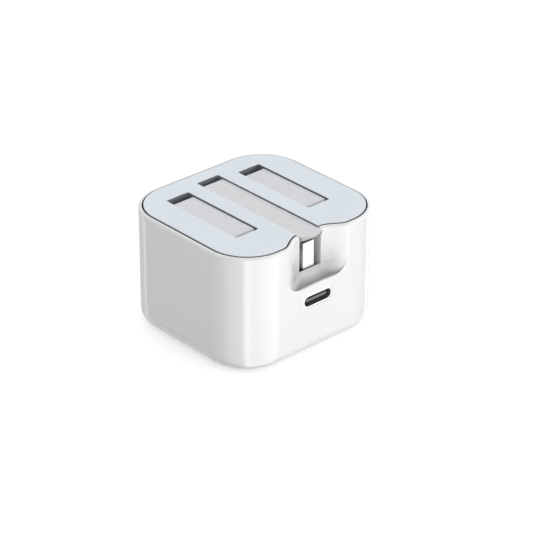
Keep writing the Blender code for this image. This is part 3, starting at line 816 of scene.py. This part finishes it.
def camera():
    data = bpy.data.cameras.new("camera")
    data.sensor_width = SENSOR
    data.lens = FOCAL
    data.shift_x = SHIFT_X
    data.shift_y = SHIFT_Y
    data.clip_start = 0.01
    item = bpy.data.objects.new("camera", data)
    azimuth, elevation = math.radians(CAMERA_AZIMUTH), math.radians(CAMERA_ELEVATION)
    towards = Vector(
        (
            math.sin(azimuth) * math.cos(elevation),
            -math.cos(azimuth) * math.cos(elevation),
            math.sin(elevation),
        )
    )
    item.location = CAMERA_TARGET + towards * CAMERA_DISTANCE
    item.rotation_euler = towards.to_track_quat("Z", "Y").to_euler()
    bpy.context.scene.collection.objects.link(item)
    bpy.context.scene.camera = item


FLOOR_BOUNCE = 0.55
FLOOR_LIFT = 0.35
FLOOR_HALF = 3.0
FLOOR_GAP = 0.0002


def floor():
    """A pale floor: the camera sees it bright, and it throws less light back on the sides."""
    bm = bmesh.new()
    bmesh.ops.create_grid(bm, x_segments=2, y_segments=2, size=FLOOR_HALF)
    look, tree, shader = shader_nodes("pale_floor")
    cloud = ramp(tree, noise(tree, 6, 2), (0.93, 0.93, 0.93), (0.95, 0.95, 0.95))
    ray = tree.nodes.new("ShaderNodeLightPath")
    pick = tree.nodes.new("ShaderNodeMix")
    pick.data_type = "RGBA"
    pick.inputs["A"].default_value = (FLOOR_BOUNCE, FLOOR_BOUNCE, FLOOR_BOUNCE, 1)
    tree.links.new(ray.outputs["Is Camera Ray"], pick.inputs["Factor"])
    tree.links.new(cloud, pick.inputs["B"])
    tree.links.new(pick.outputs["Result"], shader.inputs["Base Color"])
    lift = tree.nodes.new("ShaderNodeMath")
    lift.operation = "MULTIPLY"
    lift.inputs[1].default_value = FLOOR_LIFT
    tree.links.new(ray.outputs["Is Camera Ray"], lift.inputs[0])
    tree.links.new(lift.outputs["Value"], shader.inputs["Emission Strength"])
    shader.inputs["Emission Color"].default_value = (1, 1, 1, 1)
    shader.inputs["Roughness"].default_value = 0.9
    shader.inputs["Specular IOR Level"].default_value = 0.1
    ground = from_bmesh("floor", bm, look)
    ground.location.z = -FLOOR_GAP
    ground.visible_glossy = False


# Brightness of the studio by azimuth in degrees, 0 in front of the part and 90 on its right. LOW is
# near the horizon and HIGH halfway up. What lies below the horizon is only mirrored in the sides of
# the part, as soft strip lights.
BRIGHTEST = 6.0
LOW = (
    (-180, 1.2), (-135, 0.45), (-85, 0.45), (-50, 2.1), (-15, 3.7), (60, 3.6), (110, 1.6), (180, 1.2),
)
HIGH = (
    (-180, 1.35), (-130, 0.9), (-90, 0.5), (-50, 0.35), (60, 0.35), (100, 0.8), (140, 1.35), (180, 1.35),
)
STRIPS = (
    (-180, 0.7), (-168, 1.0), (-164, 2.5), (-160, 1.0), (-150, 0.5), (-105, 0.5), (-85, 1.6), (-62, 1.6),
    (-52, 2.1), (-46, 6.0), (-36, 6.0), (-28, 4.2), (32, 4.2), (44, 1.8), (80, 0.6), (90, 0.9), (94, 2.4),
    (99, 2.4), (104, 1.0), (180, 0.7),
)
ZENITH = 0.6


def by_azimuth(tree, source, stops):
    """A brightness that follows the azimuth, smooth between the stops."""
    made = tree.nodes.new("ShaderNodeValToRGB")
    made.color_ramp.interpolation = "EASE"
    marks = made.color_ramp.elements
    while len(marks) < len(stops):
        marks.new(0.5)
    for mark, (azimuth, bright) in zip(marks, stops):
        mark.position = azimuth / 360 + 0.5
        share = bright / BRIGHTEST
        mark.color = (share, share, share, 1)
    tree.links.new(source, made.inputs["Fac"])
    return made.outputs["Color"]


def maths(tree, operation, first, second=None, clamp=False):
    made = tree.nodes.new("ShaderNodeMath")
    made.operation = operation
    made.use_clamp = clamp
    for socket, value in zip(made.inputs, (first, second)):
        if isinstance(value, bpy.types.NodeSocket):
            tree.links.new(value, socket)
        elif value is not None:
            socket.default_value = value
    return made.outputs["Value"]


def blend(tree, share, first, second):
    made = tree.nodes.new("ShaderNodeMix")
    for name, value in (("Factor", share), ("A", first), ("B", second)):
        if isinstance(value, bpy.types.NodeSocket):
            tree.links.new(value, made.inputs[name])
        else:
            made.inputs[name].default_value = value
    return made.outputs["Result"]


def world():
    made = bpy.data.worlds.new("studio")
    made.use_nodes = True
    tree = made.node_tree
    back = tree.nodes["Background"]
    place = tree.nodes.new("ShaderNodeTexCoord")
    split = tree.nodes.new("ShaderNodeSeparateXYZ")
    tree.links.new(place.outputs["Generated"], split.inputs["Vector"])
    x, y, z = split.outputs
    turn = maths(tree, "ARCTAN2", x, maths(tree, "MULTIPLY", y, -1.0))
    azimuth = maths(tree, "ADD", maths(tree, "DIVIDE", turn, 2 * math.pi), 0.5)
    low, high, strips = (by_azimuth(tree, azimuth, stops) for stops in (LOW, HIGH, STRIPS))
    down = maths(tree, "SUBTRACT", 1.0, z)
    sky = blend(tree, maths(tree, "POWER", down, 2.0, clamp=True), high, low)
    sky = blend(tree, maths(tree, "POWER", z, 4.0), sky, ZENITH / BRIGHTEST)
    whole = blend(tree, maths(tree, "GREATER_THAN", z, 0.0), strips, sky)
    back.inputs["Color"].default_value = (1, 1, 1, 1)
    tree.links.new(maths(tree, "MULTIPLY", whole, BRIGHTEST), back.inputs["Strength"])
    bpy.context.scene.world = made


# ---------------------------------------------------------------- assembly

# The housing's white, with painted shade darkening the thumb notch's floor and its other hollows.
white_gloss_painted_shade = plastic(
    "white_gloss_painted_shade", (0.85, 0.855, 0.86), 0.13, 1200, 0.0006, 0.006, painted_hollow_shade=(8.0, 0.82, 0.99, 0.36, True)
)
channel_white = plastic("channel_white", (0.82, 0.825, 0.83), 0.3, 1200, 0.0006, 0.006)
# Painted shade: a dark grey on the rim's inner wall at the seam and on the housing's inside, where shadow
# falls.
inside_painted_shade = plastic("inside_painted_shade", (0.13, 0.14, 0.155), 0.6, 900, 0.002, 0.1)
# The thumb pad: a white a little brighter than the housing's as painted light, with painted shade from the
# nearby pieces under the earth bar's lip.
pad_white_painted_light_shade = plastic(
    "pad_white_painted_light_shade", (0.93, 0.93, 0.93), 0.2, 1500, 0.001, 0.006, painted_hollow_shade=(2.5, 0.35, 0.75, 0.2, False)
)
face_satin = plastic("face_satin", (0.75, 0.815, 0.865), 0.4, 3500, 0.003, 0.012)
# Painted shade: a dark grey for the plate's edges and slot walls, where the seam and slots fall into
# shadow.
face_edge_painted_shade = plastic("face_edge_painted_shade", (0.2, 0.215, 0.235), 0.6, 3500, 0.003, 0.08)
pin_metal = metal("pin_satin_metal", (0.58, 0.585, 0.605), 0.4, 1, metallic=0.8)
bar_metal = metal("bar_satin_metal", (0.58, 0.585, 0.6), 0.4, 1, metallic=0.8)
# Painted shade: a darker copy of the bar's metal for the lip's front and underside.
lip_painted_shade_metal = metal("lip_shaded_metal", (0.2, 0.2, 0.205), 0.5, 0, metallic=0.8)
port_steel = metal("port_steel", (0.8, 0.81, 0.82), 0.4, 1, metallic=0.6)
# Painted shade: a darker copy of the port's steel for the inside of its oval.
port_inside_painted_shade = metal("port_inside_painted_shade", (0.22, 0.225, 0.23), 0.4, 1, metallic=0.6)
port_black = plastic("port_black", (0.1, 0.1, 0.102), 0.4, 2000, 0.005, 0.2)

built = (
    (housing(white_gloss_painted_shade, inside_painted_shade, channel_white), "charger_body", "housing_shell", "housing_white"),
    (pin_face(face_satin, face_edge_painted_shade), "charger_body", "pin_face_plate", "face_grey"),
    (receptacle_shell(port_steel, port_inside_painted_shade), "charger_body", "usb_c_shell", "steel"),
    (receptacle_tongue(port_black), "charger_body", "usb_c_base", "black_plastic"),
    (earth_bar(bar_metal, lip_painted_shade_metal), "earth_lever", "earth_pin_bar", "pin_metal"),
    (thumb_pad(pad_white_painted_light_shade), "earth_lever", "thumb_pad", "housing_white"),
    (flat_pin("pin_live", "live_pin", pin_metal), "pin_rotor", "live_pin", "pin_metal"),
    (flat_pin("pin_neutral", "neutral_pin", pin_metal), "pin_rotor", "neutral_pin", "pin_metal"),
)
for piece, body, node, slot in built:
    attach(piece, body)
    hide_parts(node)

dress_hidden_parts()
floor()
world()
camera()
bpy.context.scene.view_settings.view_transform = "Standard"
